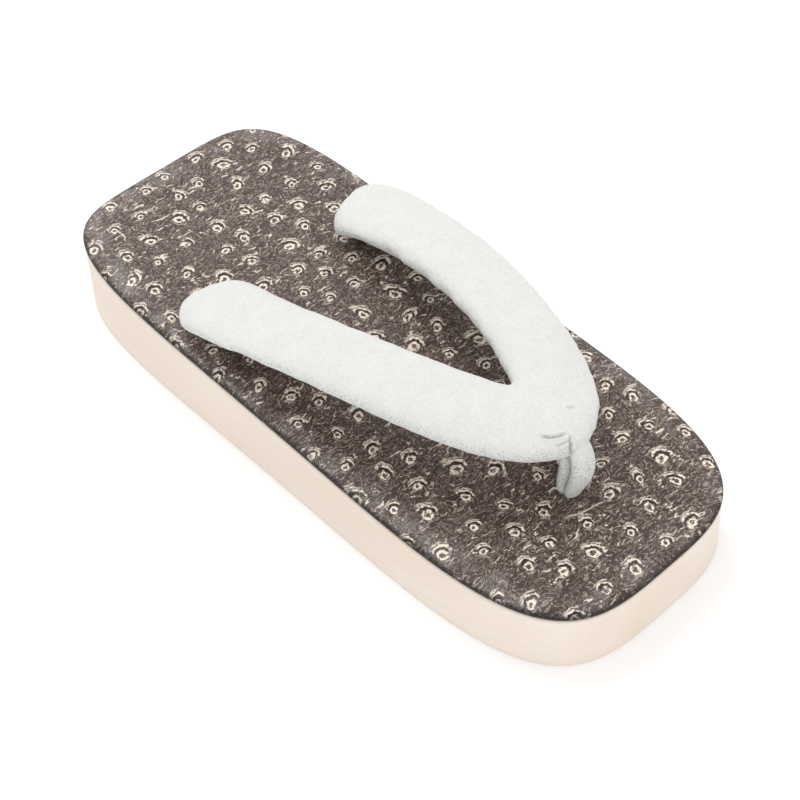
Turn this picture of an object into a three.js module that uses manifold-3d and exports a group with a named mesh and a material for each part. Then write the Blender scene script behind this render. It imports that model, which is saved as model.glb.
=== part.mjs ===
// Geta sandal with a leather-covered bed and a padded thong.
// Millimetres. +X is the wearer's right, +Y points to the toe, +Z is up.
// The origin is on the floor, under the middle of the sandal.

import * as THREE from 'three';
import * as BufferGeometryUtils from 'three/addons/utils/BufferGeometryUtils.js';
import Module from 'manifold-3d';

const wasm = await Module();
wasm.setup();

// ---------------------------------------------------------------- driving dimensions

const LENGTH = 240;
const WIDTH = 99;
const HEEL_SQUARENESS = 5.4;
const TOE_SQUARENESS = 3.5;
const END_FULLNESS = 0.06;
const TOE_FULLNESS = 0.055;

const HEEL_HEIGHT = 28.3;
const TOE_HEIGHT = 21.3;
const ARCH_SAG = 1.0;
const WALL_DRAFT = 0.7;

const GAP = 0.3;

const TOE_HOLE = { x: 0, y: 80.5, radius: 4.4 };
const SIDE_HOLE = { x: 33.5, y: -44, radius: 4.8 };
const RECESS_RADIUS = 7.6;
const RECESS_DEPTH = 8;
const KNOT_BOTTOM = 2;
const DRILL_FROM = -5;
const DRILL_TO = 60;

const OUTLINE_POINTS = 72;
const SECTION_POINTS = 20;
const HOLE_POINTS = 24;
const KNOT_STEPS = 8;
const TANGENT_STEP = Math.PI / 360;

// ---------------------------------------------------------------- solids from rings

// A closed body through rings of equal point count, with a flat or domed middle at each end.
// The rings run from the first end to the last, each turning anticlockwise about that direction.
function bodyThroughRings(rings) {
  const count = rings[0].length;
  const positions = [];
  const middleOf = (ring) => ring.reduce((sum, p) => sum.add(p), new THREE.Vector3()).divideScalar(count);
  const push = (...points) => points.forEach((p) => positions.push(p.x, p.y, p.z));
  const firstMiddle = middleOf(rings[0]);
  const lastMiddle = middleOf(rings[rings.length - 1]);
  for (let i = 0; i < count; i += 1) {
    const j = (i + 1) % count;
    push(firstMiddle, rings[0][j], rings[0][i]);
    push(lastMiddle, rings[rings.length - 1][i], rings[rings.length - 1][j]);
    for (let k = 0; k + 1 < rings.length; k += 1) {
      const low = rings[k];
      const high = rings[k + 1];
      push(low[i], low[j], high[j]);
      push(low[i], high[j], high[i]);
    }
  }
  const geometry = new THREE.BufferGeometry();
  geometry.setAttribute('position', new THREE.Float32BufferAttribute(positions, 3));
  return geometry;
}

function solidOf(geometry) {
  const bare = geometry.clone();
  bare.deleteAttribute('normal');
  bare.deleteAttribute('uv');
  const merged = BufferGeometryUtils.mergeVertices(bare, 1e-4);
  return new wasm.Manifold(new wasm.Mesh({
    numProp: 3,
    vertProperties: new Float32Array(merged.attributes.position.array),
    triVerts: new Uint32Array(merged.index.array),
  }));
}

function geometryOf(solid) {
  const mesh = solid.getMesh();
  const geometry = new THREE.BufferGeometry();
  geometry.setAttribute('position', new THREE.BufferAttribute(mesh.vertProperties, 3));
  geometry.setIndex(new THREE.BufferAttribute(mesh.triVerts, 1));
  return geometry;
}

function uprightPin(x, y, radius, bottom, top) {
  const pin = new THREE.CylinderGeometry(radius, radius, top - bottom, HOLE_POINTS);
  pin.rotateX(Math.PI / 2);
  pin.translate(x, y, (bottom + top) / 2);
  return solidOf(pin);
}

// ---------------------------------------------------------------- the sole's plan and top line

// One point of the plan: a squarish oval, squarer at the heel than at the toe.
function planPoint(angle) {
  const c = Math.cos(angle);
  const s = Math.sin(angle);
  const power = s > 0 ? TOE_SQUARENESS : HEEL_SQUARENESS;
  const reach = (Math.abs(c) ** power + Math.abs(s) ** power) ** (-1 / power);
  const along = reach * s;
  const fullness = 1 + END_FULLNESS * along ** 2 + TOE_FULLNESS * along ** 3;
  return new THREE.Vector2((WIDTH / 2) * reach * c * fullness, (LENGTH / 2) * along);
}

// The plan drawn in by an even distance all round.
function planRing(inset) {
  const ring = [];
  for (let i = 0; i < OUTLINE_POINTS; i += 1) {
    const angle = (2 * Math.PI * (i + 0.5)) / OUTLINE_POINTS;
    const along = planPoint(angle + TANGENT_STEP).sub(planPoint(angle - TANGENT_STEP)).normalize();
    const outward = new THREE.Vector2(along.y, -along.x);
    ring.push(planPoint(angle).addScaledVector(outward, -inset));
  }
  return ring;
}

// The plan shrunk towards its middle, for the faces inside an inset ring.
function shrunkRing(inset, share) {
  return planRing(inset).map((p) => p.multiplyScalar(share));
}

// Height of the wooden base at a place along the sandal: high at the heel, low at the toe.
function baseTop(y) {
  const t = y / LENGTH + 0.5;
  return HEEL_HEIGHT + (TOE_HEIGHT - HEEL_HEIGHT) * t - ARCH_SAG * 4 * t * (1 - t);
}

const raised = (ring, heightAt) => ring.map((p) => new THREE.Vector3(p.x, p.y, heightAt(p.y)));

// ---------------------------------------------------------------- base: one block of light wood

const FOOT_CHAMFER = 0.8;
const RIM_CHAMFER = 0.6;
const UNDERSIDE_SHARE = 0.5;
const TOP_SHARES = [0.75, 0.5, 0.25];

function baseGeometry() {
  const rim = WALL_DRAFT + RIM_CHAMFER;
  const block = solidOf(bodyThroughRings([
    raised(shrunkRing(FOOT_CHAMFER, UNDERSIDE_SHARE), () => 0),
    raised(planRing(FOOT_CHAMFER), () => 0),
    raised(planRing(0), () => FOOT_CHAMFER),
    raised(planRing(WALL_DRAFT), (y) => baseTop(y) - RIM_CHAMFER),
    raised(planRing(rim), baseTop),
    ...TOP_SHARES.map((share) => raised(shrunkRing(rim, share), baseTop)),
  ]));
  return geometryOf(cutStrapHoles(block, true));
}

// Takes the three strap holes out of a layer, with the knots' recesses where it is the base.
function cutStrapHoles(layer, withRecesses) {
  const holes = [TOE_HOLE, SIDE_HOLE, { ...SIDE_HOLE, x: -SIDE_HOLE.x }];
  return holes.reduce((solid, hole) => {
    const drilled = solid.subtract(uprightPin(hole.x, hole.y, hole.radius, DRILL_FROM, DRILL_TO));
    if (!withRecesses) {
      return drilled;
    }
    return drilled.subtract(uprightPin(hole.x, hole.y, RECESS_RADIUS, DRILL_FROM, RECESS_DEPTH));
  }, layer);
}

// ---------------------------------------------------------------- footbed: a thin padded, covered board

// From the underside's rim, round the rolled edge, to the crown.
const FOOTBED_PROFILE = [
  { inset: 2.0, up: 0.0 },
  { inset: 1.0, up: 0.35 },
  { inset: 0.6, up: 1.1 },
  { inset: 0.9, up: 1.9 },
  { inset: 2.2, up: 2.5 },
  { inset: 4.5, up: 2.85 },
  { inset: 9.0, up: 3.25 },
];
const FOOTBED_UNDER_SHARES = [0.3, 0.65];
// The crowned middle: each ring's share of the outline, and its height above the edge.
const FOOTBED_CROWN = [
  { share: 0.75, rise: 0.2 },
  { share: 0.45, rise: 0.36 },
  { share: 0.15, rise: 0.44 },
];

function footbedGeometry() {
  const edgeTop = FOOTBED_PROFILE[FOOTBED_PROFILE.length - 1];
  const at = (up) => (y) => baseTop(y) + GAP + up;
  const under = FOOTBED_PROFILE[0];
  const slab = solidOf(bodyThroughRings([
    ...FOOTBED_UNDER_SHARES.map((share) => raised(shrunkRing(under.inset, share), at(under.up))),
    ...FOOTBED_PROFILE.map((row) => raised(planRing(row.inset), at(row.up))),
    ...FOOTBED_CROWN.map((row) => raised(shrunkRing(edgeTop.inset, row.share), at(edgeTop.up + row.rise))),
  ]));
  return geometryOf(cutStrapHoles(slab, false));
}

// ---------------------------------------------------------------- straps: two padded arms and their yoke

// Sections of the right arm, from its end beside the heel to the yoke over the toes.
// tilt is how far the outer edge is turned down, in degrees.
const ARM_SECTIONS = [
  { y: -53.0, x: 31.2, z: 34.9, width: 14.0, thick: 7.4, tilt: 0 },
  { y: -51.8, x: 31.5, z: 35.3, width: 21.5, thick: 10.2, tilt: 0 },
  { y: -49.2, x: 31.9, z: 35.6, width: 25.4, thick: 11.7, tilt: 0 },
  { y: -45.2, x: 32.5, z: 36.5, width: 27.4, thick: 11.6, tilt: 0 },
  { y: -39.0, x: 32.9, z: 38.9, width: 28.0, thick: 9.6, tilt: 0 },
  { y: -30.5, x: 32.5, z: 41.0, width: 27.7, thick: 8.6, tilt: 0 },
  { y: -15.1, x: 31.1, z: 44.7, width: 27.1, thick: 8.5, tilt: 1 },
  { y: 3.2, x: 28.7, z: 48.2, width: 26.6, thick: 8.9, tilt: 2 },
  { y: 21.9, x: 25.0, z: 50.2, width: 26.0, thick: 9.4, tilt: 4 },
  { y: 39.9, x: 20.3, z: 50.8, width: 25.5, thick: 10.0, tilt: 7 },
  { y: 55.9, x: 14.3, z: 50.4, width: 25.2, thick: 10.8, tilt: 9 },
  { y: 67.2, x: 8.2, z: 49.8, width: 23.6, thick: 11.6, tilt: 10 },
  { y: 74.2, x: 3.5, z: 49.2, width: 19.6, thick: 11.8, tilt: 8 },
  { y: 79.2, x: -0.2, z: 48.0, width: 13.2, thick: 10.8, tilt: 4 },
  { y: 82.0, x: -2.4, z: 47.0, width: 6.8, thick: 7.6, tilt: 0 },
];
const ARM_STEPS = 34;
const ARM_ROUNDNESS = 2.4;

// A strap's cross-section ring: a flattened oval, square to the arm's run.
function armRing(centre, run, section, grow) {
  const up = new THREE.Vector3(0, 0, 1);
  const side = new THREE.Vector3().crossVectors(run, up).normalize();
  const crown = new THREE.Vector3().crossVectors(side, run);
  const tilt = THREE.MathUtils.degToRad(section.tilt);
  const flat = side.clone().multiplyScalar(Math.cos(tilt)).addScaledVector(crown, -Math.sin(tilt));
  const thick = crown.clone().multiplyScalar(Math.cos(tilt)).addScaledVector(side, Math.sin(tilt));
  const ring = [];
  for (let i = 0; i < SECTION_POINTS; i += 1) {
    const angle = (2 * Math.PI * i) / SECTION_POINTS;
    const c = Math.cos(angle);
    const s = Math.sin(angle);
    const reach = (Math.abs(c) ** ARM_ROUNDNESS + Math.abs(s) ** ARM_ROUNDNESS) ** (-1 / ARM_ROUNDNESS);
    const across = (section.width / 2 + grow) * reach * c;
    const depth = (section.thick / 2 + grow) * reach * s;
    ring.push(centre.clone().addScaledVector(flat, across).addScaledVector(thick, -depth));
  }
  return ring;
}

// The right arm, its surface and its ends moved out by grow. Smooth curves join the sections.
function armSolid(grow) {
  const line = new THREE.CatmullRomCurve3(ARM_SECTIONS.map((s) => new THREE.Vector3(s.x, s.y, s.z)));
  const curveOf = (column) => new THREE.SplineCurve(
    ARM_SECTIONS.map((section, i) => new THREE.Vector2(i, section[column])),
  );
  const columns = { width: curveOf('width'), thick: curveOf('thick'), tilt: curveOf('tilt') };
  const rings = [];
  for (let k = 0; k <= ARM_STEPS; k += 1) {
    const t = k / ARM_STEPS;
    const section = {
      width: columns.width.getPoint(t).y,
      thick: columns.thick.getPoint(t).y,
      tilt: columns.tilt.getPoint(t).y,
    };
    const run = line.getTangent(t);
    const endShift = grow * (Number(k === ARM_STEPS) - Number(k === 0));
    const centre = line.getPoint(t).addScaledVector(run, endShift);
    rings.push(armRing(centre, run, section, grow));
  }
  return solidOf(bodyThroughRings(rings));
}

const mirrored = (solid) => {
  const geometry = geometryOf(solid);
  geometry.scale(-1, 1, 1);
  const index = geometry.index.array;
  for (let i = 0; i < index.length; i += 3) {
    [index[i], index[i + 1]] = [index[i + 1], index[i]];
  }
  return solidOf(geometry);
};

// A round cord end hanging in a strap hole, with the knot that holds it in the recess.
function tail(hole, radius, top) {
  const knotRadius = RECESS_RADIUS - 2 * GAP;
  const knotTop = RECESS_DEPTH - GAP;
  const knotRound = (knotTop - KNOT_BOTTOM) / 2;
  const profile = [new THREE.Vector2(0, KNOT_BOTTOM)];
  const knotCore = knotRadius - knotRound;
  for (let k = 0; k <= KNOT_STEPS; k += 1) {
    const angle = -Math.PI / 2 + (Math.PI * k) / KNOT_STEPS;
    profile.push(new THREE.Vector2(
      knotCore + knotRound * Math.cos(angle),
      KNOT_BOTTOM + knotRound + knotRound * Math.sin(angle),
    ));
  }
  profile.push(new THREE.Vector2(radius, knotTop));
  profile.push(new THREE.Vector2(radius, top));
  profile.push(new THREE.Vector2(0, top));
  const turned = new THREE.LatheGeometry(profile, HOLE_POINTS);
  turned.rotateX(Math.PI / 2);
  turned.translate(hole.x, hole.y, 0);
  return solidOf(turned);
}

function yokeSolid(grow) {
  const arm = armSolid(grow);
  return arm.add(mirrored(arm));
}

const STRAP_CORD_TOP = 33;

function strapsGeometry() {
  const cord = tail(SIDE_HOLE, SIDE_HOLE.radius - GAP, STRAP_CORD_TOP);
  return geometryOf(yokeSolid(0).add(cord).add(mirrored(cord)));
}

// ---------------------------------------------------------------- toe post: a rolled loop of the same cloth

// forward is how far a section stands toward the toe from the middle of the toe hole.
const POST_SECTIONS = [
  { z: 22.5, forward: 0, halfWidth: 4.0, halfDepth: 4.0 },
  { z: 26.0, forward: 0, halfWidth: 4.0, halfDepth: 4.0 },
  { z: 31.0, forward: 1.1, halfWidth: 4.4, halfDepth: 4.6 },
  { z: 38.0, forward: 2.1, halfWidth: 4.5, halfDepth: 5.1 },
  { z: 45.0, forward: 0.9, halfWidth: 4.4, halfDepth: 4.8 },
];
const POST_CORD_TOP = 24;

function toePostGeometry() {
  const rings = POST_SECTIONS.map((row) => {
    const ring = [];
    for (let i = 0; i < HOLE_POINTS; i += 1) {
      const angle = (2 * Math.PI * i) / HOLE_POINTS;
      ring.push(new THREE.Vector3(
        TOE_HOLE.x + row.halfWidth * Math.cos(angle),
        TOE_HOLE.y + row.forward + row.halfDepth * Math.sin(angle),
        row.z,
      ));
    }
    return ring;
  });
  const loop = solidOf(bodyThroughRings(rings));
  const cord = tail(TOE_HOLE, TOE_HOLE.radius - GAP, POST_CORD_TOP);
  return geometryOf(loop.add(cord).subtract(yokeSolid(GAP)));
}

// ---------------------------------------------------------------- the sandal

const wood = new THREE.MeshStandardMaterial({ color: 0xecdfd0, roughness: 0.6, metalness: 0 });
const leather = new THREE.MeshStandardMaterial({ color: 0x4a3f3c, roughness: 0.45, metalness: 0 });
const cloth = new THREE.MeshStandardMaterial({ color: 0xecede8, roughness: 0.95, metalness: 0 });

const sandal = new THREE.Group();

function addPiece(name, geometry, material) {
  const piece = new THREE.Mesh(geometry, material);
  piece.name = name;
  sandal.add(piece);
}

addPiece('base', baseGeometry(), wood);
addPiece('footbed', footbedGeometry(), leather);
addPiece('straps', strapsGeometry(), cloth);
addPiece('toe_post', toePostGeometry(), cloth.clone());

export default sandal;
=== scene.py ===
"""Geta sandal: a block of pale wood, a printed leather bed and a padded thong of white napped cloth."""
import math

import bmesh
import bpy
import numpy as np
from mathutils import Matrix, Vector


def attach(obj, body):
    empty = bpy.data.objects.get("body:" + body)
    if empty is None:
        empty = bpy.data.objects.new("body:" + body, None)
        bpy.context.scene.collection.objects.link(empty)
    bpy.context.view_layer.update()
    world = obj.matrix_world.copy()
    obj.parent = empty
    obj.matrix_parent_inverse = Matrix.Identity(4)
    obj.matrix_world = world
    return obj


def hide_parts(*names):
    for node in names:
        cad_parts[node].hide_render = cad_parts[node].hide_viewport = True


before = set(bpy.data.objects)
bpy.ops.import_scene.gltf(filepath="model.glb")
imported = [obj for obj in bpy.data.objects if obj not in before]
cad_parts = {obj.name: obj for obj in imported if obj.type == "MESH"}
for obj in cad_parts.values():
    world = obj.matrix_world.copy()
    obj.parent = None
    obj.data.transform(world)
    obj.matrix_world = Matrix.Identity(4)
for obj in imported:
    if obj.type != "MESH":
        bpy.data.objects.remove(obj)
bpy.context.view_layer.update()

# ---------------------------------------------------------------- base
# The base is one block of light, close-grained wood, sawn to the sole's plan and sanded smooth.
# Its edges are eased by hand. Three holes take the cords, each with a round recess for its knot.

MM = 0.001
SOLE_LENGTH, SOLE_WIDTH = 240 * MM, 99 * MM
HEEL_SQUARENESS, TOE_SQUARENESS = 5.4, 3.5
END_FULLNESS, TOE_FULLNESS = 0.06, 0.055
HEEL_HEIGHT, TOE_HEIGHT, ARCH_SAG = 28.3 * MM, 21.3 * MM, 1.0 * MM
WALL_DRAFT = 0.7 * MM
CORD_HOLES = (  # across, along, radius
    (0.0, 80.5 * MM, 4.4 * MM),
    (33.5 * MM, -44 * MM, 4.8 * MM),
    (-33.5 * MM, -44 * MM, 4.8 * MM),
)
KNOT_RECESS, KNOT_DEPTH = 7.6 * MM, 8 * MM
RECESS_EASE, RECESS_STEP = 0.5 * MM, 0.1 * MM
DRILL_FROM, DRILL_TO = -1 * MM, 40 * MM
SHARP_FROM = math.radians(38)


def sole_outline(count, inset):
    """Squarish oval of the sole's plan, moved in by inset along its own normal.

    The reach of each turn is (|cos|^p + |sin|^p)^(-1/p), with a larger p at the heel than at the toe,
    and the width swells with the square and the cube of the place along the sole.
    """
    turn = 2 * np.pi * (np.arange(count) + 0.5) / count

    def at(angle):
        c, s = np.cos(angle), np.sin(angle)
        p = np.where(s > 0, TOE_SQUARENESS, HEEL_SQUARENESS)
        reach = (np.abs(c) ** p + np.abs(s) ** p) ** (-1 / p)
        along = reach * s
        fullness = 1 + END_FULLNESS * along**2 + TOE_FULLNESS * along**3
        return np.stack([SOLE_WIDTH / 2 * reach * c * fullness, SOLE_LENGTH / 2 * along], -1)

    nudge = 0.002
    run = at(turn + nudge) - at(turn - nudge)
    run /= np.linalg.norm(run, axis=1, keepdims=True)
    return at(turn) - inset * np.stack([run[:, 1], -run[:, 0]], -1)


def wood_top(y):
    """Height of the wood: a straight fall from heel to toe, with a parabola's sag taken off between."""
    t = y / SOLE_LENGTH + 0.5
    return HEEL_HEIGHT + (TOE_HEIGHT - HEEL_HEIGHT) * t - ARCH_SAG * 4 * t * (1 - t)


def add_piece(name, mesh, material):
    """Links a mesh as a piece at the origin, smooth except where its faces meet sharply."""
    mesh.shade_smooth()
    mesh.set_sharp_from_angle(angle=SHARP_FROM)
    piece = bpy.data.objects.new(name, mesh)
    bpy.context.scene.collection.objects.link(piece)
    if material:
        mesh.materials.append(material)
    return piece


def ring_mesh(name, *bodies):
    """Skins closed bodies, each an array (rows, points, 3) of rings that turn anticlockwise about their run.

    Neighbouring rings are joined by quads, and each end ring by a fan to its own middle.
    """
    points, faces, start = [], [], 0
    for rings in bodies:
        rows, count, _ = rings.shape
        row, here = np.meshgrid(np.arange(rows - 1), np.arange(count), indexing="ij")
        low, lowest = start + row * count, start + (rows - 1) * count
        after = (here + 1) % count
        walls = np.stack([low + here, low + after, low + count + after, low + count + here], -1)
        rim, rim_next = here[0], after[0]
        middle = start + rows * count
        first = np.stack([np.full(count, middle), start + rim_next, start + rim], -1)
        last = np.stack([np.full(count, middle + 1), lowest + rim, lowest + rim_next], -1)
        points += [rings.reshape(-1, 3), rings[0].mean(0)[None], rings[-1].mean(0)[None]]
        faces += walls.reshape(-1, 4).tolist() + first.tolist() + last.tolist()
        start = middle + 2
    mesh = bpy.data.meshes.new(name)
    mesh.from_pydata(np.concatenate(points).tolist(), [], faces)
    return mesh


def turned_rings(profile, across, along, count=48):
    """Rings of a turned shape about an upright line: each row of the profile is (radius, height)."""
    turn = 2 * np.pi * np.arange(count) / count
    rings = np.empty((len(profile), count, 3))
    radius = np.array(profile)[:, 0, None]
    rings[..., 0] = across + radius * np.cos(turn)
    rings[..., 1] = along + radius * np.sin(turn)
    rings[..., 2] = np.array(profile)[:, 1, None]
    return rings


def drilled(piece, *cutters):
    """Cuts closed bodies out of a piece and keeps the result as its mesh."""
    for rings in cutters:
        tool = add_piece("tool", ring_mesh("tool", rings), None)
        cut = piece.modifiers.new("hole", "BOOLEAN")
        cut.operation, cut.solver, cut.object = "DIFFERENCE", "EXACT", tool
        finished(piece)
        bpy.data.objects.remove(tool)
    piece.data.set_sharp_from_angle(angle=SHARP_FROM)


def finished(piece):
    """Applies the piece's modifiers, so that its mesh is what is seen."""
    view = bpy.context.evaluated_depsgraph_get()
    mesh = bpy.data.meshes.new_from_object(piece.evaluated_get(view))
    piece.modifiers.clear()
    old, piece.data = piece.data, mesh
    bpy.data.meshes.remove(old)


def shader(tree, kind, settings, inputs):
    """Adds a shader node with its own settings, and gives its inputs values or links them."""
    made = tree.nodes.new(kind)
    for key, value in settings.items():
        setattr(made, key, value)
    for key, value in inputs.items():
        if isinstance(value, bpy.types.NodeSocket):
            tree.links.new(value, made.inputs[key])
        else:
            made.inputs[key].default_value = value
    return made.outputs


def sum_of(tree, operation, *values):
    """A Math node on up to three values or sockets."""
    return shader(tree, "ShaderNodeMath", {"operation": operation}, dict(enumerate(values)))[0]


def blend_of(tree, share, first, second):
    """A colour mix of two colours or sockets."""
    return shader(tree, "ShaderNodeMix", {"data_type": "RGBA"}, {0: share, 6: first, 7: second})[2]


def ramp_of(tree, value, low, high, start=0.0, end=1.0, how="SMOOTHSTEP"):
    """Maps a value from low..high to start..end, and holds it at the ends."""
    settings = {"interpolation_type": how}
    return shader(tree, "ShaderNodeMapRange", settings, {0: value, 1: low, 2: high, 3: start, 4: end})[0]


def new_material(name, roughness):
    """A material with one Principled shader, and the shader's tree and sockets to work on."""
    material = bpy.data.materials.new(name)
    material.use_nodes = True
    tree = material.node_tree
    surface = next(n for n in tree.nodes if n.type == "BSDF_PRINCIPLED")
    surface.inputs["Roughness"].default_value = roughness
    return material, tree, surface.inputs


def along_grain(tree, stretch):
    """Object coordinates multiplied by a stretch for each axis."""
    place = shader(tree, "ShaderNodeTexCoord", {}, {})["Object"]
    return shader(tree, "ShaderNodeMapping", {}, {"Vector": place, "Scale": stretch})[0]


WOOD_LIGHT = (0.765, 0.680, 0.600, 1)
WOOD_DARK = (0.685, 0.575, 0.465, 1)

pale_wood, tree, surface = new_material("pale_wood", 0.55)
rings_at = shader(tree, "ShaderNodeMapping", {}, {
    "Vector": shader(tree, "ShaderNodeTexCoord", {}, {})["Object"],
    "Location": (0.012, 0.0, 0.055),
    "Rotation": (0.03, 0.05, 0.0),
    "Scale": (1.0, 0.10, 1.0),
})[0]
growth = shader(tree, "ShaderNodeTexWave", {"wave_type": "RINGS", "rings_direction": "Y"}, {
    "Vector": rings_at, "Scale": 95.0, "Distortion": 2.6, "Detail": 3.0, "Detail Scale": 9.0,
})["Fac"]
fibre = shader(tree, "ShaderNodeTexNoise", {}, {
    "Vector": along_grain(tree, (1400, 45, 1400)), "Scale": 1.0, "Detail": 4.0, "Roughness": 0.6,
})["Fac"]
cloud = shader(tree, "ShaderNodeTexNoise", {}, {
    "Vector": along_grain(tree, (40, 9, 40)), "Scale": 1.0, "Detail": 2.0,
})["Fac"]
grain = sum_of(
    tree, "ADD", ramp_of(tree, growth, 0.55, 1.0, 0.0, 0.12), ramp_of(tree, fibre, 0.45, 0.8, 0.0, 0.16))
grain = sum_of(tree, "ADD", grain, ramp_of(tree, cloud, 0.35, 0.7, 0.0, 0.45))
tree.links.new(blend_of(tree, grain, WOOD_LIGHT, WOOD_DARK), surface["Base Color"])
tree.links.new(ramp_of(tree, fibre, 0.2, 0.8, 0.48, 0.66), surface["Roughness"])
tree.links.new(shader(tree, "ShaderNodeBump", {}, {
    "Strength": 0.25, "Distance": 0.08 * MM, "Height": fibre,
})[0], surface["Normal"])

OUTLINE = 360  # points round the sole
FACE_SHARES = (0.15, 0.4, 0.65, 0.85)  # how far out the rings of the flat faces lie
WALL_SHARES = (0.25, 0.5, 0.75)
WALL_PROFILE = (  # inset, and height from the floor, or from the top when it is negative
    (1.10, 0.00), (0.75, 0.05), (0.42, 0.20), (0.15, 0.48), (0.02, 0.90), (0.00, 1.60),
)
RIM_PROFILE = ((0.70, -1.50), (0.74, -0.80), (0.90, -0.38), (1.15, -0.14), (1.50, 0.0), (2.2, 0.0))
block = []
for share in FACE_SHARES:
    ring = sole_outline(OUTLINE, WALL_PROFILE[0][0] * MM) * share
    block.append(np.c_[ring, np.zeros(OUTLINE)])
for inset, height in WALL_PROFILE:
    block.append(np.c_[sole_outline(OUTLINE, inset * MM), np.full(OUTLINE, height * MM)])
for share in WALL_SHARES:
    ring = sole_outline(OUTLINE, WALL_DRAFT * share)
    block.append(np.c_[ring, wood_top(ring[:, 1]) * share])
for inset, height in RIM_PROFILE:
    ring = sole_outline(OUTLINE, inset * MM)
    block.append(np.c_[ring, wood_top(ring[:, 1]) + height * MM])
for share in FACE_SHARES[::-1]:
    ring = sole_outline(OUTLINE, RIM_PROFILE[-1][0] * MM) * share
    block.append(np.c_[ring, wood_top(ring[:, 1])])
wood_block = add_piece("wood_block", ring_mesh("wood_block", np.array(block)), pale_wood)
drilled(wood_block, *(
    turned_rings(
        ((KNOT_RECESS + RECESS_EASE, DRILL_FROM), (KNOT_RECESS + RECESS_EASE, 0.0),
         (KNOT_RECESS, RECESS_EASE), (KNOT_RECESS, KNOT_DEPTH),
         (radius, KNOT_DEPTH + RECESS_STEP), (radius, DRILL_TO)),
        across, along)
    for across, along, radius in CORD_HOLES
))
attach(wood_block, "root")
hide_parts("base")

# ---------------------------------------------------------------- footbed
# The bed is a thin sheet of foam under dark leather, printed with a pale hand-drawn pattern.
# The leather is rolled over the edge of the pad and glued down just inside the wood's rim.

BED_GAP = 0.3 * MM
BED_EDGE = np.array([  # inset, height above the bed's underside
    (2.0, 0.0), (1.0, 0.35), (0.6, 1.1), (0.9, 1.9), (2.2, 2.5), (4.5, 2.85), (9.0, 3.25),
]) * MM
BED_CROWN, BED_SWELL = 0.45 * MM, 0.07 * MM
BED_DIMPLES = ((0.5, 6.0), (1.2, 11.0), (1.2, 11.0))  # depth and reach at each cord hole, in millimetres
BED_TOE_HOLE = 3.7 * MM
BED_DRILL_FROM = 15 * MM
UNDER_SHARES = (0.3, 0.7)
EDGE_ROWS, INNER_ROWS = 31, 84
ROLL_ROWS = (16, 22)  # rows of the bed from the middle of its underside: where the turned-down edge, painted in shade, ends
SHOULDER_ROWS = (17, 22, 29, 35)  # and where the leather bends over the pad


def smooth_through(rows, share):
    """Points of the Catmull-Rom curve through rows, at shares from 0 to 1 of its whole run.

    Each span is the cubic whose slope at a row is half the step between that row's neighbours.
    """
    ends = np.vstack([2 * rows[0] - rows[1], rows, 2 * rows[-1] - rows[-2]])
    place = np.clip(share, 0, 1) * (len(rows) - 1)
    span = np.minimum(place.astype(int), len(rows) - 2)
    t = (place - span)[:, None]
    a, b, c, d = (ends[span + k] for k in range(4))
    return 0.5 * (2 * b + (c - a) * t + (2 * a - 5 * b + 4 * c - d) * t**2 + (3 * b - a - 3 * c + d) * t**3)


def bed_dip(x, y):
    """How far the leather is drawn down: one Gaussian dimple at each cord hole."""
    dip = np.zeros_like(x)
    for (across, along, _), (depth, reach) in zip(CORD_HOLES, BED_DIMPLES):
        away = ((x - across) / MM) ** 2 + ((y - along) / MM) ** 2
        dip += depth * MM * np.exp(-away / reach**2)
    return dip


def bed_swell(x, y):
    """The pad's slight unevenness: three slow waves that cross at different angles."""
    waves = np.sin(x / 0.019 + y / 0.031) + np.sin(x / 0.013 - y / 0.023 + 1.7) + np.sin(y / 0.012 + 0.6)
    return BED_SWELL * waves


bed = []
for share in UNDER_SHARES:
    ring = sole_outline(OUTLINE, BED_EDGE[0, 0]) * share
    bed.append(np.c_[ring, wood_top(ring[:, 1]) + BED_GAP])
for inset, height in smooth_through(BED_EDGE, np.linspace(0, 1, EDGE_ROWS)):
    ring = sole_outline(OUTLINE, inset)
    settled = height / BED_EDGE[-1, 1]
    lift = (bed_swell(*ring.T) - bed_dip(*ring.T)) * settled**3
    bed.append(np.c_[ring, wood_top(ring[:, 1]) + BED_GAP + height + lift])
for share in np.linspace(0.985, 0.02, INNER_ROWS):
    ring = sole_outline(OUTLINE, BED_EDGE[-1, 0]) * share
    crown = BED_EDGE[-1, 1] + BED_CROWN * (1 - share**2)
    lift = bed_swell(*ring.T) - bed_dip(*ring.T)
    bed.append(np.c_[ring, wood_top(ring[:, 1]) + BED_GAP + crown + lift])


def new_group(name, inputs, outputs):
    """An empty node group with float or vector inputs and float outputs."""
    group = bpy.data.node_groups.new(name, "ShaderNodeTree")
    for label, kind, value in inputs:
        socket = group.interface.new_socket(label, in_out="INPUT", socket_type=kind)
        socket.default_value = value
    for label in outputs:
        group.interface.new_socket(label, in_out="OUTPUT", socket_type="NodeSocketFloat")
    return group, group.nodes.new("NodeGroupInput").outputs, group.nodes.new("NodeGroupOutput").inputs
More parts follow.
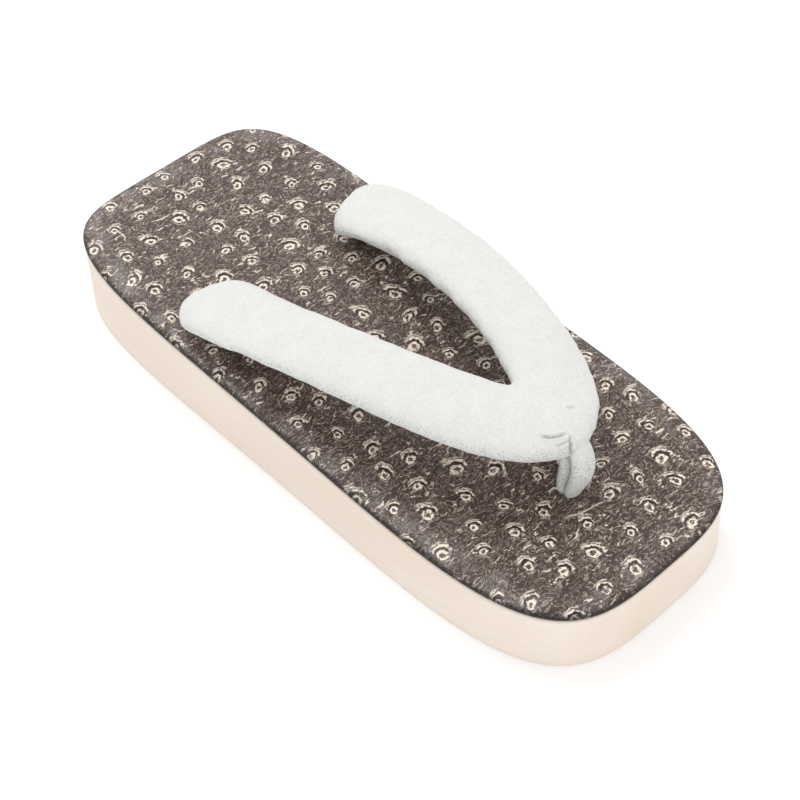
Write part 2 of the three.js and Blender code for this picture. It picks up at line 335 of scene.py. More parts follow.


# A stroke is part of a circle, pale in the print and dark in the motif's painted shadow: it is strong where
# the distance from its centre is near its radius, and only on the side that the facing direction points to.
stroke_group, given, result = new_group("drawn_stroke", (
    ("Place", "NodeSocketVector", (0, 0, 0)),
    ("Centre", "NodeSocketVector", (0, 0, 0)),
    ("Facing", "NodeSocketVector", (0, 1, 0)),
    ("Radius", "NodeSocketFloat", 1.0),
    ("Half Width", "NodeSocketFloat", 0.2),
    ("Open", "NodeSocketFloat", -1.0),
    ("Fade", "NodeSocketFloat", 0.35),
), ("Stroke",))
tree = stroke_group
away = shader(tree, "ShaderNodeVectorMath", {"operation": "SUBTRACT"}, {
    0: given["Place"], 1: given["Centre"]})[0]
length = shader(tree, "ShaderNodeVectorMath", {"operation": "LENGTH"}, {0: away})["Value"]
toward = shader(tree, "ShaderNodeVectorMath", {"operation": "NORMALIZE"}, {0: away})[0]
facing = shader(tree, "ShaderNodeVectorMath", {"operation": "DOT_PRODUCT"}, {
    0: toward, 1: given["Facing"]})["Value"]
side = sum_of(tree, "SUBTRACT", facing, given["Open"])
side = ramp_of(tree, side, 0.0, given["Fade"])
off = sum_of(tree, "ABSOLUTE", sum_of(tree, "SUBTRACT", length, given["Radius"]))
off = sum_of(tree, "DIVIDE", off, given["Half Width"])
band = ramp_of(tree, off, 0.55, 1.25, 1.0, 0.0)
tree.links.new(sum_of(tree, "MULTIPLY", band, side), result["Stroke"])

LEATHER_DARK = (0.037, 0.0235, 0.0200, 1)
LEATHER_WARM = (0.084, 0.053, 0.043, 1)
PRINT_CREAM = (0.860, 0.745, 0.620, 1)
PRINT_TAN = (0.390, 0.310, 0.255, 1)
# Painted shadow: the dark crescent that the raised ring of the motif would cast.
MOTIF_PAINTED_SHADOW = (0.010, 0.007, 0.006, 1)
# Painted shade for the turned-down edge: darker than any tone of the leather itself.
EDGE_PAINTED_SHADE = (0.010, 0.008, 0.007, 1)
REPEAT_ACROSS, REPEAT_ALONG = 12.2, 10.8  # of the printed motif, in millimetres
PRINT_SEED = 3.0

BED_WRINKLES = (  # middle of the arc, facing, radius, half width, open, fade: where the leather has been bent
    ((-6.5, 54.5), (0.26, 0.966), 36.5, 0.28, 0.975, 0.02),
    ((36.5, -101.0), (-1.0, 0.1), 6.0, 0.30, 0.80, 0.12),
    ((14.5, -104.5), (0.2, 1.0), 7.5, 0.28, 0.88, 0.08),
)

printed_leather, tree, surface = new_material("printed_leather", 0.46)
place = along_grain(tree, (1000, 1000, 1000))
waver = shader(tree, "ShaderNodeTexNoise", {}, {"Vector": place, "Scale": 0.35, "Detail": 3.0})["Color"]
waver = shader(tree, "ShaderNodeVectorMath", {"operation": "MULTIPLY_ADD"}, {
    0: waver, 1: (2.2, 2.2, 0), 2: (-1.1, -1.1, 0)})[0]
wavering = shader(tree, "ShaderNodeVectorMath", {"operation": "ADD"}, {0: place, 1: waver})[0]
wavering = shader(tree, "ShaderNodeVectorMath", {"operation": "MULTIPLY"}, {0: wavering, 1: (1, 1, 0)})[0]
drift = shader(tree, "ShaderNodeTexNoise", {}, {"Vector": place, "Scale": 0.045, "Detail": 1.0})["Color"]
drift = shader(tree, "ShaderNodeVectorMath", {"operation": "SUBTRACT"}, {0: drift, 1: (0.5, 0.5, 0.5)})[0]
drift = shader(tree, "ShaderNodeVectorMath", {"operation": "SCALE"}, {0: drift, "Scale": 9.0})[0]
wandered = shader(tree, "ShaderNodeVectorMath", {"operation": "ADD"}, {0: place, 1: drift})[0]
x, y, _ = shader(tree, "ShaderNodeSeparateXYZ", {}, {0: wandered})
row = sum_of(tree, "DIVIDE", y, REPEAT_ALONG)
row_number = sum_of(tree, "FLOOR", row)
stagger = sum_of(tree, "MULTIPLY", sum_of(tree, "FLOORED_MODULO", row_number, 2.0), 0.5)
column = sum_of(tree, "ADD", sum_of(tree, "DIVIDE", x, REPEAT_ACROSS), stagger)
column_number = sum_of(tree, "FLOOR", column)
cell = shader(tree, "ShaderNodeCombineXYZ", {}, {0: column_number, 1: row_number, 2: PRINT_SEED})[0]
chance = shader(tree, "ShaderNodeTexWhiteNoise", {"noise_dimensions": "3D"}, {"Vector": cell})
local = shader(tree, "ShaderNodeCombineXYZ", {}, {
    0: sum_of(tree, "MULTIPLY", sum_of(tree, "SUBTRACT", sum_of(tree, "FRACT", column), 0.5), REPEAT_ACROSS),
    1: sum_of(tree, "MULTIPLY", sum_of(tree, "SUBTRACT", sum_of(tree, "FRACT", row), 0.5), REPEAT_ALONG),
    2: 0.0,
})[0]
jitter = shader(tree, "ShaderNodeVectorMath", {"operation": "SUBTRACT"}, {
    0: chance["Color"], 1: (0.5, 0.5, 0.5)})[0]
jitter = shader(tree, "ShaderNodeVectorMath", {"operation": "MULTIPLY"}, {0: jitter, 1: (3.4, 3.0, 0)})[0]
local = shader(tree, "ShaderNodeVectorMath", {"operation": "ADD"}, {0: local, 1: jitter})[0]
local = shader(tree, "ShaderNodeVectorRotate", {"rotation_type": "Z_AXIS"}, {
    "Vector": local, "Angle": ramp_of(tree, chance["Value"], 0, 1, -0.45, 0.45, "LINEAR"),
})[0]
_, _, chance_size = shader(tree, "ShaderNodeSeparateXYZ", {}, {0: chance["Color"]})
local = shader(tree, "ShaderNodeVectorMath", {"operation": "SCALE"}, {
    0: local, "Scale": ramp_of(tree, chance_size, 0, 1, 0.84, 1.18, "LINEAR")})[0]
tremble = shader(tree, "ShaderNodeTexNoise", {}, {"Vector": place, "Scale": 0.75, "Detail": 2.0})["Color"]
tremble = shader(tree, "ShaderNodeVectorMath", {"operation": "SUBTRACT"}, {0: tremble, 1: (0.5, 0.5, 0.5)})[0]
tremble = shader(tree, "ShaderNodeVectorMath", {"operation": "MULTIPLY"}, {0: tremble, 1: (1.7, 1.7, 0)})[0]
local = shader(tree, "ShaderNodeVectorMath", {"operation": "ADD"}, {0: local, 1: tremble})[0]

MOTIF_STROKES = (  # centre, facing, radius, half width, open, strength
    ((0.45, 0.45), (0.0, 1.0), 1.10, 0.40, -1.5, 1.0),
    ((0.2, 0.2), (-0.7, -0.7), 2.55, 0.36, 0.12, 0.95),
    ((0.1, 0.4), (-0.45, -0.9), 3.55, 0.30, 0.62, 0.7),
    ((0.4, 0.2), (0.6, 0.8), 2.3, 0.24, 0.75, 0.5),
)
# A painted shadow: a dark crescent between the ring and its brow, where the raised print would cast shade.
MOTIF_SHADOW_STROKE = ((0.3, 0.3), (-0.7, -0.7), 1.85, 0.42, 0.05, 0.85)


def motif_stroke(tree, local, centre, facing, radius, half_width, opened, strength):
    """One stroke of the motif, placed in its repeat."""
    stroke = shader(tree, "ShaderNodeGroup", {"node_tree": stroke_group}, {
        "Place": local, "Centre": (*centre, 0), "Facing": (*facing, 0),
        "Radius": radius, "Half Width": half_width, "Open": opened,
    })[0]
    return sum_of(tree, "MULTIPLY", stroke, strength)


motif = 0.0
for stroke in MOTIF_STROKES:
    motif = sum_of(tree, "MAXIMUM", motif, motif_stroke(tree, local, *stroke))
breaks = shader(tree, "ShaderNodeTexNoise", {}, {"Vector": place, "Scale": 1.0, "Detail": 2.0})["Fac"]
motif = sum_of(tree, "MULTIPLY", motif, ramp_of(tree, breaks, 0.30, 0.50))
painted_shadow = motif_stroke(tree, local, *MOTIF_SHADOW_STROKE)

flecks = shader(tree, "ShaderNodeTexNoise", {}, {
    "Vector": along_grain(tree, (300, 640, 300)), "Scale": 1.0,
    "Detail": 2.0, "Roughness": 0.6, "Distortion": 1.1,
})["Fac"]
patches = shader(tree, "ShaderNodeTexNoise", {}, {"Vector": place, "Scale": 0.11, "Detail": 1.0})["Fac"]
flecks = sum_of(tree, "MULTIPLY", ramp_of(tree, flecks, 0.60, 0.68), ramp_of(tree, patches, 0.36, 0.50))
swirl = shader(tree, "ShaderNodeTexNoise", {}, {
    "Vector": along_grain(tree, (95, 210, 95)), "Scale": 1.0,
    "Detail": 2.0, "Roughness": 0.5, "Distortion": 1.2,
})["Fac"]
swirl = sum_of(tree, "FRACT", sum_of(tree, "MULTIPLY", swirl, 13.0))
thin = shader(tree, "ShaderNodeTexNoise", {}, {"Vector": place, "Scale": 0.9, "Detail": 2.0})["Fac"]
hairs = ramp_of(tree, sum_of(tree, "ABSOLUTE", sum_of(tree, "SUBTRACT", swirl, 0.5)), 0.08, 0.26, 1.0, 0.0)
hairs = sum_of(tree, "MULTIPLY", hairs, ramp_of(tree, thin, 0.36, 0.56))
ground = shader(tree, "ShaderNodeTexNoise", {}, {
    "Vector": place, "Scale": 1.3, "Detail": 4.0, "Roughness": 0.7})["Fac"]
colour = blend_of(tree, ramp_of(tree, ground, 0.35, 0.7, 0.0, 1.0), LEATHER_DARK, LEATHER_WARM)
colour = blend_of(tree, sum_of(tree, "MULTIPLY", hairs, 0.70), colour, PRINT_TAN)
colour = blend_of(tree, sum_of(tree, "MULTIPLY", flecks, 0.8), colour, PRINT_CREAM)
# The motif's painted shadow, laid over the ground and the hairs.
colour = blend_of(tree, painted_shadow, colour, MOTIF_PAINTED_SHADOW)
for middle, facing, radius, half_width, opened, fade in BED_WRINKLES:
    wrinkle = shader(tree, "ShaderNodeGroup", {"node_tree": stroke_group}, {
        "Place": wavering, "Centre": (*middle, 0), "Facing": (*facing, 0),
        "Radius": radius, "Half Width": half_width, "Open": opened, "Fade": fade,
    })[0]
    motif = sum_of(tree, "MAXIMUM", motif, sum_of(tree, "MULTIPLY", wrinkle, 0.70))
colour = blend_of(tree, motif, colour, PRINT_CREAM)
# The turned-down edge, facing down and out, is blended near black over the print: painted shade.
rolled = shader(tree, "ShaderNodeAttribute", {"attribute_name": "roll_shade"}, {})["Fac"]
colour = blend_of(tree, sum_of(tree, "MULTIPLY", rolled, 0.85), colour, EDGE_PAINTED_SHADE)
shine = shader(tree, "ShaderNodeAttribute", {"attribute_name": "shoulder"}, {})["Fac"]
shine = sum_of(tree, "MULTIPLY", shine, ramp_of(tree, patches, 0.42, 0.60, 0.25, 1.0))
tree.links.new(ramp_of(tree, shine, 0, 1, 0.26, 0.80), surface["Specular IOR Level"])
tree.links.new(colour, surface["Base Color"])
motif_relief = sum_of(tree, "MULTIPLY", motif, 1.2)
pebble = shader(tree, "ShaderNodeTexVoronoi", {"feature": "SMOOTH_F1"}, {
    "Vector": place, "Scale": 1.5})["Distance"]
relief = sum_of(tree, "ADD", sum_of(tree, "ADD", pebble, motif_relief), sum_of(tree, "MULTIPLY", ground, 0.9))
tree.links.new(ramp_of(tree, ground, 0.2, 0.8, 0.32, 0.50), surface["Roughness"])
tree.links.new(shader(tree, "ShaderNodeBump", {}, {
    "Strength": 0.7, "Distance": 0.2 * MM, "Height": relief,
})[0], surface["Normal"])

printed_bed = add_piece("printed_bed", ring_mesh("printed_bed", np.array(bed)), printed_leather)
rows = np.arange(len(bed) * OUTLINE) // OUTLINE
for name, at, values, ends in (  # the two last points close the underside and the top
    ("roll_shade", ROLL_ROWS, (1, 0), (1.0, 0.0)),
    ("shoulder", SHOULDER_ROWS, (0, 1, 1, 0), (0.0, 0.0)),
):
    mask = printed_bed.data.attributes.new(name, "FLOAT", "POINT")
    mask.data.foreach_set("value", np.r_[np.interp(rows, at, values), ends].astype(np.float32))
drilled(printed_bed, *(
    turned_rings(((radius, BED_DRILL_FROM), (radius, DRILL_TO)), across, along)
    for across, along, radius in ((*CORD_HOLES[0][:2], BED_TOE_HOLE), *CORD_HOLES[1:])
))
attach(printed_bed, "root")
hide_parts("footbed")

# ---------------------------------------------------------------- straps
# The thong is two stuffed tubes of white napped cloth, sewn together over the toes.
# At the back each tube is drawn down to a cord, which goes through the sole and is knotted below.

ARM = np.array([  # across, along, up, width, thickness, tilt of the outer edge in degrees
    (31.2, -53.0, 34.9, 14, 7.4, 0), (31.5, -51.8, 35.3, 21.5, 10.2, 0), (31.9, -49.2, 35.6, 25.4, 11.7, 0),
    (32.5, -45.2, 36.5, 27.4, 11.6, 0), (32.9, -39, 38.9, 28, 9.6, 0), (32.5, -30.5, 41.0, 27.7, 8.6, 0),
    (31.1, -15.1, 44.7, 27.1, 8.5, 1), (28.7, 3.2, 48.2, 26.6, 8.9, 2), (25.0, 21.9, 50.2, 26, 9.4, 4),
    (20.3, 39.9, 50.8, 25.5, 10.0, 7), (14.3, 55.9, 50.4, 25.2, 10.8, 9), (8.2, 67.2, 49.8, 23.6, 11.6, 10),
    (3.5, 74.2, 49.2, 19.6, 11.8, 8), (-0.2, 79.2, 48.0, 13.2, 10.8, 4), (-2.4, 82.0, 47.0, 6.8, 7.6, 0),
])
ARM_ROUNDNESS = 2.4
EDGE_ROOM, FACE_ROOM = -0.6 * MM, 0.35 * MM  # how far the sewn tube starts inside the stuffed strap's size
VOXEL = 2.1 * MM
STUFFING_PRESSURE, STUFFING_REACH = 4.0, 1.0 * MM
STUFFING_FRAMES = 20
SMOOTHING = (0.6, -0.63) * 20  # in and out in turn: smooths the steps left by the voxels and keeps the size
REAR_HELD, YOKE_HELD = (-49, 4), (77, 5)  # where the ends start to be held, and over what run, in millimetres
YOKE_HOLD = 0.7


def arm_rings(hand, steps=90, count=56):
    """Rings of one arm: squarish ovals set across the Catmull-Rom line through the table.

    Each oval is |cos|^(2/n), |sin|^(2/n) times half its width and thickness, turned about the run
    by its tilt. hand is 1 for the right arm and -1 for its mirror image.
    """
    rows = smooth_through(ARM, np.linspace(0, 1, steps))
    line = rows[:, :3] * MM
    run = np.gradient(line, axis=0)
    run /= np.linalg.norm(run, axis=1, keepdims=True)
    side = np.cross(run, (0, 0, 1))
    side /= np.linalg.norm(side, axis=1, keepdims=True)
    crown = np.cross(side, run)
    lean = np.radians(rows[:, 5:6])
    flat = side * np.cos(lean) - crown * np.sin(lean)
    thick = crown * np.cos(lean) + side * np.sin(lean)
    turn = 2 * np.pi * np.arange(count) / count
    c, s = np.cos(turn), np.sin(turn)
    u = np.sign(c) * np.abs(c) ** (2 / ARM_ROUNDNESS)
    w = np.sign(s) * np.abs(s) ** (2 / ARM_ROUNDNESS)
    half_width = (rows[:, 3, None, None] / 2 * MM - EDGE_ROOM).clip(1 * MM)
    half_thick = (rows[:, 4, None, None] / 2 * MM - FACE_ROOM).clip(1 * MM)
    rings = line[:, None] + flat[:, None] * u[:, None] * half_width + thick[:, None] * w[:, None] * half_thick
    if hand < 0:
        rings = rings[:, ::-1] * (-1, 1, 1)
    return rings


def points_of(mesh, kind="co"):
    """The mesh's points, or their normals, as an array of rows."""
    source = mesh.vertices if kind == "co" else mesh.vertex_normals
    flat = np.empty(len(mesh.vertices) * 3)
    source.foreach_get("co" if kind == "co" else "vector", flat)
    return flat.reshape(-1, 3)


def set_points(mesh, points):
    """Puts the rows of an array back as the mesh's points."""
    mesh.vertices.foreach_set("co", np.asarray(points, float).ravel())
    mesh.update()


def relaxed(mesh, rounds, share):
    """Moves every point part of the way to the mean of its neighbours, a number of times."""
    ends = np.empty(len(mesh.edges) * 2, int)
    mesh.edges.foreach_get("vertices", ends)
    a, b = ends.reshape(-1, 2).T
    points = points_of(mesh)
    links = np.bincount(a, minlength=len(points)) + np.bincount(b, minlength=len(points))
    for _ in range(rounds):
        total = np.stack([
            np.bincount(a, points[b, k], len(points)) + np.bincount(b, points[a, k], len(points))
            for k in range(3)
        ], -1)
        points += share * (total / links[:, None] - points)
    set_points(mesh, points)


def stuffed(piece, held, pressure, most):
    """Blows the piece's skin up as its stuffing does, and lets no point move more than most.

    held is how firmly each point stays where it is, from 0 to 1.
    """
    start = points_of(piece.data)
    group = piece.vertex_groups.new(name="held")
    for step in range(1, 11):
        chosen = np.flatnonzero(np.round(held * 10) == step)
        group.add(chosen.tolist(), step / 10, "REPLACE")
    cloth = piece.modifiers.new("stuffing", "CLOTH")
    cloth.settings.vertex_group_mass = "held"
    cloth.settings.effector_weights.gravity = 0
    cloth.settings.use_pressure = True
    cloth.settings.uniform_pressure_force = pressure
    cloth.settings.quality = 6
    cloth.point_cache.frame_start, cloth.point_cache.frame_end = 1, STUFFING_FRAMES
    for step in range(1, STUFFING_FRAMES + 1):
        bpy.context.scene.frame_set(step)
    view = bpy.context.evaluated_depsgraph_get()
    shift = points_of(piece.evaluated_get(view).data) - start
    piece.modifiers.clear()
    bpy.context.scene.frame_set(1)
    far = np.linalg.norm(shift, axis=1, keepdims=True)
    set_points(piece.data, start + shift * np.minimum(1, most / far.clip(1e-9)))


def away_from(points, path):
    """Each point's distance to a line of straight steps, and its share of the way along the line."""
    best = np.full(len(points), 1e9)
    share = np.zeros(len(points))
    steps = np.diff(path, axis=0)
    lengths = np.linalg.norm(steps, axis=1).clip(1e-6)
    run = np.concatenate([[0], np.cumsum(lengths)]) / lengths.sum()
    for k, step in enumerate(steps):
        t = ((points - path[k]) @ step / lengths[k] ** 2).clip(0, 1)
        gap = np.linalg.norm(points - path[k] - t[:, None] * step, axis=1)
        nearer = gap < best
        best = np.where(nearer, gap, best)
        share = np.where(nearer, run[k] + t * (run[k + 1] - run[k]), share)
    return best, share


def crease(mesh, path, depth, half_width, fade=0.25):
    """Presses a soft trough along a path, with a low ridge on each side, both fading at the ends.

    The trough is a Gaussian of the distance from the path, and the ridges are one at twice its width.
    """
    points, normals = points_of(mesh), points_of(mesh, "normal")
    run, knots = np.linspace(0, 1, 14), np.linspace(0, 1, len(path))
    path = np.stack([np.interp(run, knots, np.array(path)[:, k]) for k in range(3)], -1) * MM
    nearest = [np.argmin(((points - place) ** 2).sum(1)) for place in path]
    gap, share = away_from(points, points[nearest])
    ends = np.minimum(share, 1 - share).clip(0, fade) / fade
    trough = np.exp(-((gap / half_width) ** 2))
    ridge = np.exp(-(((gap - 2.0 * half_width) / half_width) ** 2))
    push = depth * (0.28 * ridge - trough) * ends
    set_points(mesh, points + normals * push[:, None])


CLOTH_SHADE = (0.625, 0.628, 0.608, 1)
CLOTH_WHITE = (0.700, 0.700, 0.668, 1)
# Painted shade: the grey of the specks on the straps' sides.
SIDE_SHADE_GREY = (0.26, 0.27, 0.29, 1)

napped_cloth, tree, surface = new_material("napped_cloth", 0.92)
place = along_grain(tree, (1000, 1000, 1000))
nap = shader(tree, "ShaderNodeTexNoise", {}, {
    "Vector": place, "Scale": 0.85, "Detail": 3.0, "Roughness": 0.65})["Fac"]
lie = shader(tree, "ShaderNodeTexNoise", {}, {"Vector": place, "Scale": 0.16, "Detail": 2.0})["Fac"]
# Darker where the nap noise, which also raises the bump, is low: partly random tone, partly painted shade in
# the nap's hollows.
shade = sum_of(tree, "ADD", ramp_of(tree, nap, 0.3, 0.7, 0.0, 0.7), ramp_of(tree, lie, 0.35, 0.7, 0.0, 0.3))
shade = blend_of(tree, shade, CLOTH_SHADE, CLOTH_WHITE)
normal = shader(tree, "ShaderNodeNewGeometry", {}, {})["Normal"]
_, _, upward = shader(tree, "ShaderNodeSeparateXYZ", {}, {0: normal})
# Grey specks that grow as the surface turns away from upward: painted shade on the straps' sides, broken up
# by noise.
side_shade_specks = shader(tree, "ShaderNodeTexNoise", {}, {
    "Vector": place, "Scale": 1.9, "Detail": 2.0, "Roughness": 0.6})["Fac"]
on_sides = ramp_of(tree, upward, 0.1, 0.75, 0.62, 0.0)
side_shade_specks = sum_of(tree, "MULTIPLY", ramp_of(tree, side_shade_specks, 0.50, 0.63), on_sides)
tree.links.new(blend_of(tree, side_shade_specks, shade, SIDE_SHADE_GREY), surface["Base Color"])
surface["Sheen Weight"].default_value = 0.18
surface["Sheen Roughness"].default_value = 0.55
surface["Specular IOR Level"].default_value = 0.2
tree.links.new(shader(tree, "ShaderNodeBump", {}, {
    "Strength": 1.0, "Distance": 0.45 * MM, "Height": nap,
})[0], surface["Normal"])

padded_straps = add_piece("padded_straps", ring_mesh(
    "padded_straps", arm_rings(1), arm_rings(-1)), napped_cloth)
weld = padded_straps.modifiers.new("weld", "REMESH")
weld.mode, weld.voxel_size, weld.use_smooth_shade = "VOXEL", VOXEL, True
finished(padded_straps)
relaxed(padded_straps.data, 3, 0.5)
points = points_of(padded_straps.data) / MM
held = np.clip((REAR_HELD[0] - points[:, 1]) / REAR_HELD[1], 0, 1)
held += np.clip((points[:, 1] - YOKE_HELD[0]) / YOKE_HELD[1], 0, YOKE_HOLD)
stuffed(padded_straps, held.clip(0, 1), STUFFING_PRESSURE, STUFFING_REACH)
for share in SMOOTHING:
    relaxed(padded_straps.data, 1, share)
fine = padded_straps.modifiers.new("fine", "SUBSURF")
fine.levels = fine.render_levels = 2
finished(padded_straps)


def refined(mesh, chosen):
    """Halves the edges of the chosen faces, so that a narrow crease can be pressed there."""
    work = bmesh.new()
    work.from_mesh(mesh)
    work.faces.ensure_lookup_table()
    faces = [work.faces[k] for k in np.flatnonzero(chosen)]
    edges = list({edge for face in faces for edge in face.edges})
    bmesh.ops.subdivide_edges(work, edges=edges, cuts=1, use_grid_fill=True)
    work.to_mesh(mesh)
    work.free()
    mesh.shade_smooth()


middles = np.empty(len(padded_straps.data.polygons) * 3)
padded_straps.data.polygons.foreach_get("center", middles)
across, along, up = middles.reshape(-1, 3).T / MM
refined(padded_straps.data, (along > 73.0) & (up > 44.5) & (across < 11.5) & (across > -7.5))

SEAM_DROP = 4.5  # from the arm's middle line to the seam along its underside, in millimetres
SEAM_DEPTH, SEAM_HALF_WIDTH, SEAM_FADE = 0.5 * MM, 0.7 * MM, 0.05
for hand in (1, -1):
    under = smooth_through(ARM, np.linspace(0.05, 0.8, 30))[:, :3] * (hand, 1, 1) - (0, 0, SEAM_DROP)
    crease(padded_straps.data, under, SEAM_DEPTH, SEAM_HALF_WIDTH, SEAM_FADE)
YOKE_CREASES = (  # path across, along and up, with the trough's depth and half width in millimetres
    (((2.0, 81.0, 53.2), (3.6, 82.8, 51.6), (4.5, 83.8, 48.8), (4.6, 84.0, 45.0)), 1.5, 0.42),
    (((9.7, 75.5, 54.0), (8.9, 77.3, 53.8), (7.3, 78.8, 53.5), (4.4, 80.2, 53.4), (2.2, 80.8, 53.4)),
     1.0, 0.36),
    (((8.2, 81.3, 51.6), (5.8, 82.0, 52.0), (3.4, 82.3, 52.4)), 0.6, 0.36),
    (((-3.2, 74.2, 55.1), (-5.6, 76.2, 54.7)), 0.6, 0.40),
    (((4.2, 83.9, 48.2), (0.4, 84.4, 47.6), (-4.0, 84.0, 48.2)), 1.0, 0.45),
)
for path, depth, half_width in YOKE_CREASES:
    crease(padded_straps.data, path, depth * MM, half_width * MM)


def knot_rings(across, along, bottom, steps=120, count=14):
    """A cord tied in a single knot: a round tube along a trefoil, laid flat about an upright line.

    The line is (sin t + 2 sin 2t, cos t - 2 cos 2t, -sin 3t), closed on itself.
    """
    t = 2 * np.pi * np.arange(steps) / steps
    reach, rise, thick = 1.52 * MM, 0.75 * MM, 2.05 * MM

    def line(t):
        return np.stack([
            reach * (np.sin(t) + 2 * np.sin(2 * t)),
            reach * (np.cos(t) - 2 * np.cos(2 * t)),
            -rise * np.sin(3 * t),
        ], -1)

    nudge = 0.01
    run = line(t + nudge) - line(t - nudge)
    run /= np.linalg.norm(run, axis=1, keepdims=True)
    side = np.cross(run, (0, 0, 1))
    side /= np.linalg.norm(side, axis=1, keepdims=True)
    crown = np.cross(side, run)
    turn = 2 * np.pi * np.arange(count) / count
    rings = line(t)[:, None] + thick * (
        side[:, None] * np.cos(turn)[:, None] + crown[:, None] * np.sin(turn)[:, None])
    return rings + (across, along, bottom + rise + thick)


def loop_mesh(name, rings):
    """Skins a tube whose last ring joins its first."""
    rows, count, _ = rings.shape
    row, here = np.meshgrid(np.arange(rows), np.arange(count), indexing="ij")
    after, above = (here + 1) % count, (row + 1) % rows
    near, far = row * count, above * count
    faces = np.stack([near + here, near + after, far + after, far + here], -1)
    mesh = bpy.data.meshes.new(name)
    mesh.from_pydata(rings.reshape(-1, 3).tolist(), [], faces.reshape(-1, 4).tolist())
    return mesh


CORD_FOOT, STRAP_CORD_TOP = 5.5 * MM, 33 * MM
CORD_ROOM = 0.4 * MM  # between a cord and its hole
KNOT_FOOT = 2.1 * MM


def tail_profile(radius, top):
    """Profile of a round cord that comes up from its knot, gathered at first and flaring near its top."""
    rows = [
        (0.6, 0), (0.9, 0.03), (1, 0.1), (0.97, 0.5), (1, 0.79), (1.08, 0.82), (1.35, 0.86), (1.7, 0.90),
        (1.85, 0.94), (1.6, 0.98), (1.0, 1),
    ]
    return [(radius * r, CORD_FOOT + (top - CORD_FOOT) * h) for r, h in rows]


for name, (across, along, radius) in zip(("right", "left"), CORD_HOLES[1:]):
    profile = tail_profile(radius - CORD_ROOM, STRAP_CORD_TOP)
    cord = ring_mesh(f"{name}_cord", turned_rings(profile, across, along))
    cord = add_piece(f"{name}_cord", cord, napped_cloth)
    knot = loop_mesh(f"{name}_knot", knot_rings(across, along, KNOT_FOOT))
    knot = add_piece(f"{name}_knot", knot, napped_cloth)
    for piece in (cord, knot):
        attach(piece, "root")
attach(padded_straps, "root")
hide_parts("straps")

# ---------------------------------------------------------------- toe post
# A narrow rolled loop of the same cloth comes out of the front of the thong and goes down through the sole.
# Its two legs stand one behind the other, pressed together, and are knotted below as one cord.

FRONT_LEG = np.array([  # along from the hole, up, half width, half depth
    (1.3, 21.0, 2.7, 1.8), (1.4, 24.5, 3.1, 2.0), (2.3, 28.0, 3.8, 2.4), (3.8, 33.0, 4.2, 2.8),
    (4.6, 38.0, 4.3, 2.9), (4.2, 42.5, 4.2, 2.7), (3.0, 46.0, 3.9, 2.4), (1.6, 48.8, 3.0, 1.9),
])
BACK_LEG = np.array([
    (-1.3, 21.0, 2.7, 1.8), (-1.5, 24.5, 3.1, 2.0), (-1.6, 28.0, 3.6, 2.2), (-0.9, 33.0, 4.0, 2.4),
    (-0.4, 38.0, 4.1, 2.5), (-0.9, 42.5, 4.0, 2.3), (-1.9, 45.5, 3.6, 2.0),
])


def leg_rings(table, steps=40, count=40):
    """Upright ovals through the table's rows, with the cloth's slight pull in their width."""
    rows = smooth_through(table, np.linspace(0, 1, steps)) * MM
    turn = 2 * np.pi * np.arange(count) / count
    along, up, wide, deep = (rows[:, k, None] for k in range(4))
    x = wide * np.cos(turn) + np.zeros_like(up)
    y = CORD_HOLES[0][1] + along + deep * np.sin(turn)
    return np.stack([x, y, up + np.zeros_like(x)], -1)


TOE_CORD_RADIUS, TOE_CORD_TOP = 4.1 * MM, 22.5 * MM
across, along, _ = CORD_HOLES[0]
profile = tail_profile(TOE_CORD_RADIUS, TOE_CORD_TOP)
toe_loop = ring_mesh("toe_loop", leg_rings(FRONT_LEG), leg_rings(BACK_LEG))
toe_loop = add_piece("toe_loop", toe_loop, napped_cloth)
toe_knot = add_piece("toe_knot", loop_mesh("toe_knot", knot_rings(across, along, KNOT_FOOT)), napped_cloth)
toe_cord = add_piece("toe_cord", ring_mesh("toe_cord", turned_rings(profile, across, along)), napped_cloth)
for piece in (toe_loop, toe_knot, toe_cord):
    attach(piece, "root")
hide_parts("toe_post")

# ---------------------------------------------------------------- floor, light and camera
# A plain white sweep of floor in an even white room, with three broad soft lamps: behind the heel,
# overhead and beyond the toe.

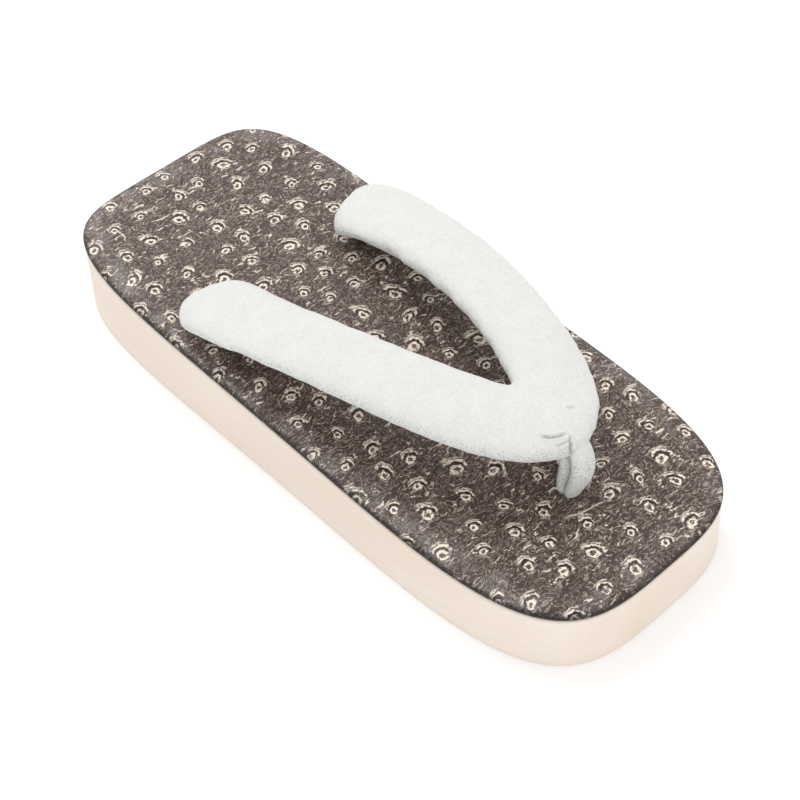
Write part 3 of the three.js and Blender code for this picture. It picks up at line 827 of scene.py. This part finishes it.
floor_paint, tree, surface = new_material("floor_paint", 0.9)
surface["Base Color"].default_value = (0.97, 0.97, 0.97, 1)
surface["Specular IOR Level"].default_value = 0.1
FLOOR_REACH = 3
floor = bpy.data.meshes.new("floor")
floor.from_pydata([
    (x * FLOOR_REACH, y * FLOOR_REACH, 0) for x, y in ((-1, -1), (1, -1), (1, 1), (-1, 1))
], [], [(0, 1, 2, 3)])
floor = add_piece("floor", floor, floor_paint)

bpy.context.scene.view_settings.view_transform = "Standard"
world = bpy.data.worlds.new("white_room")
world.use_nodes = True
world.node_tree.nodes["Background"].inputs["Color"].default_value = (1, 1, 1, 1)
world.node_tree.nodes["Background"].inputs["Strength"].default_value = 0.95
bpy.context.scene.world = world

LAMPS = (  # name, place, size, power in watts; each is turned to the sole's middle
    ("back_lamp", (-0.35, -1.0, 0.95), 0.9, 3.8),
    ("top_lamp", (-0.05, -0.45, 1.10), 0.4, 2.6),
    ("front_lamp", (0.55, 1.15, 0.9), 0.9, 4.0),
)
for name, place, size, power in LAMPS:
    lamp = bpy.data.lights.new(name, "AREA")
    lamp.shape, lamp.size, lamp.energy = "DISK", size, power
    holder = bpy.data.objects.new(name, lamp)
    holder.location = place
    holder.rotation_euler = (-Vector(place)).to_track_quat("-Z", "Y").to_euler()
    bpy.context.scene.collection.objects.link(holder)

VIEW_TURN, VIEW_LIFT, VIEW_ROLL = math.radians(138.83), math.radians(48.10), math.radians(-2.69)
VIEW_AIM, VIEW_DISTANCE = Vector((5.85 * MM, 11.49 * MM, 15 * MM)), 561.9 * MM
VIEW_LENS, VIEW_SENSOR = 78, 36
back = Vector((
    math.sin(VIEW_TURN) * math.cos(VIEW_LIFT),
    -math.cos(VIEW_TURN) * math.cos(VIEW_LIFT),
    math.sin(VIEW_LIFT),
))
right = (-back).cross(Vector((0, 0, 1))).normalized()
up = right.cross(-back)
level = Matrix((right, up, back)).transposed()
camera = bpy.data.objects.new("camera", bpy.data.cameras.new("camera"))
camera.data.lens, camera.data.sensor_width = VIEW_LENS, VIEW_SENSOR
camera.data.clip_start, camera.data.clip_end = 0.05, 20
camera.matrix_world = Matrix.Translation(VIEW_AIM + back * VIEW_DISTANCE) @ (
    level @ Matrix.Rotation(VIEW_ROLL, 3, "Z")).to_4x4()
bpy.context.scene.collection.objects.link(camera)
bpy.context.scene.camera = camera

bpy.context.view_layer.update()
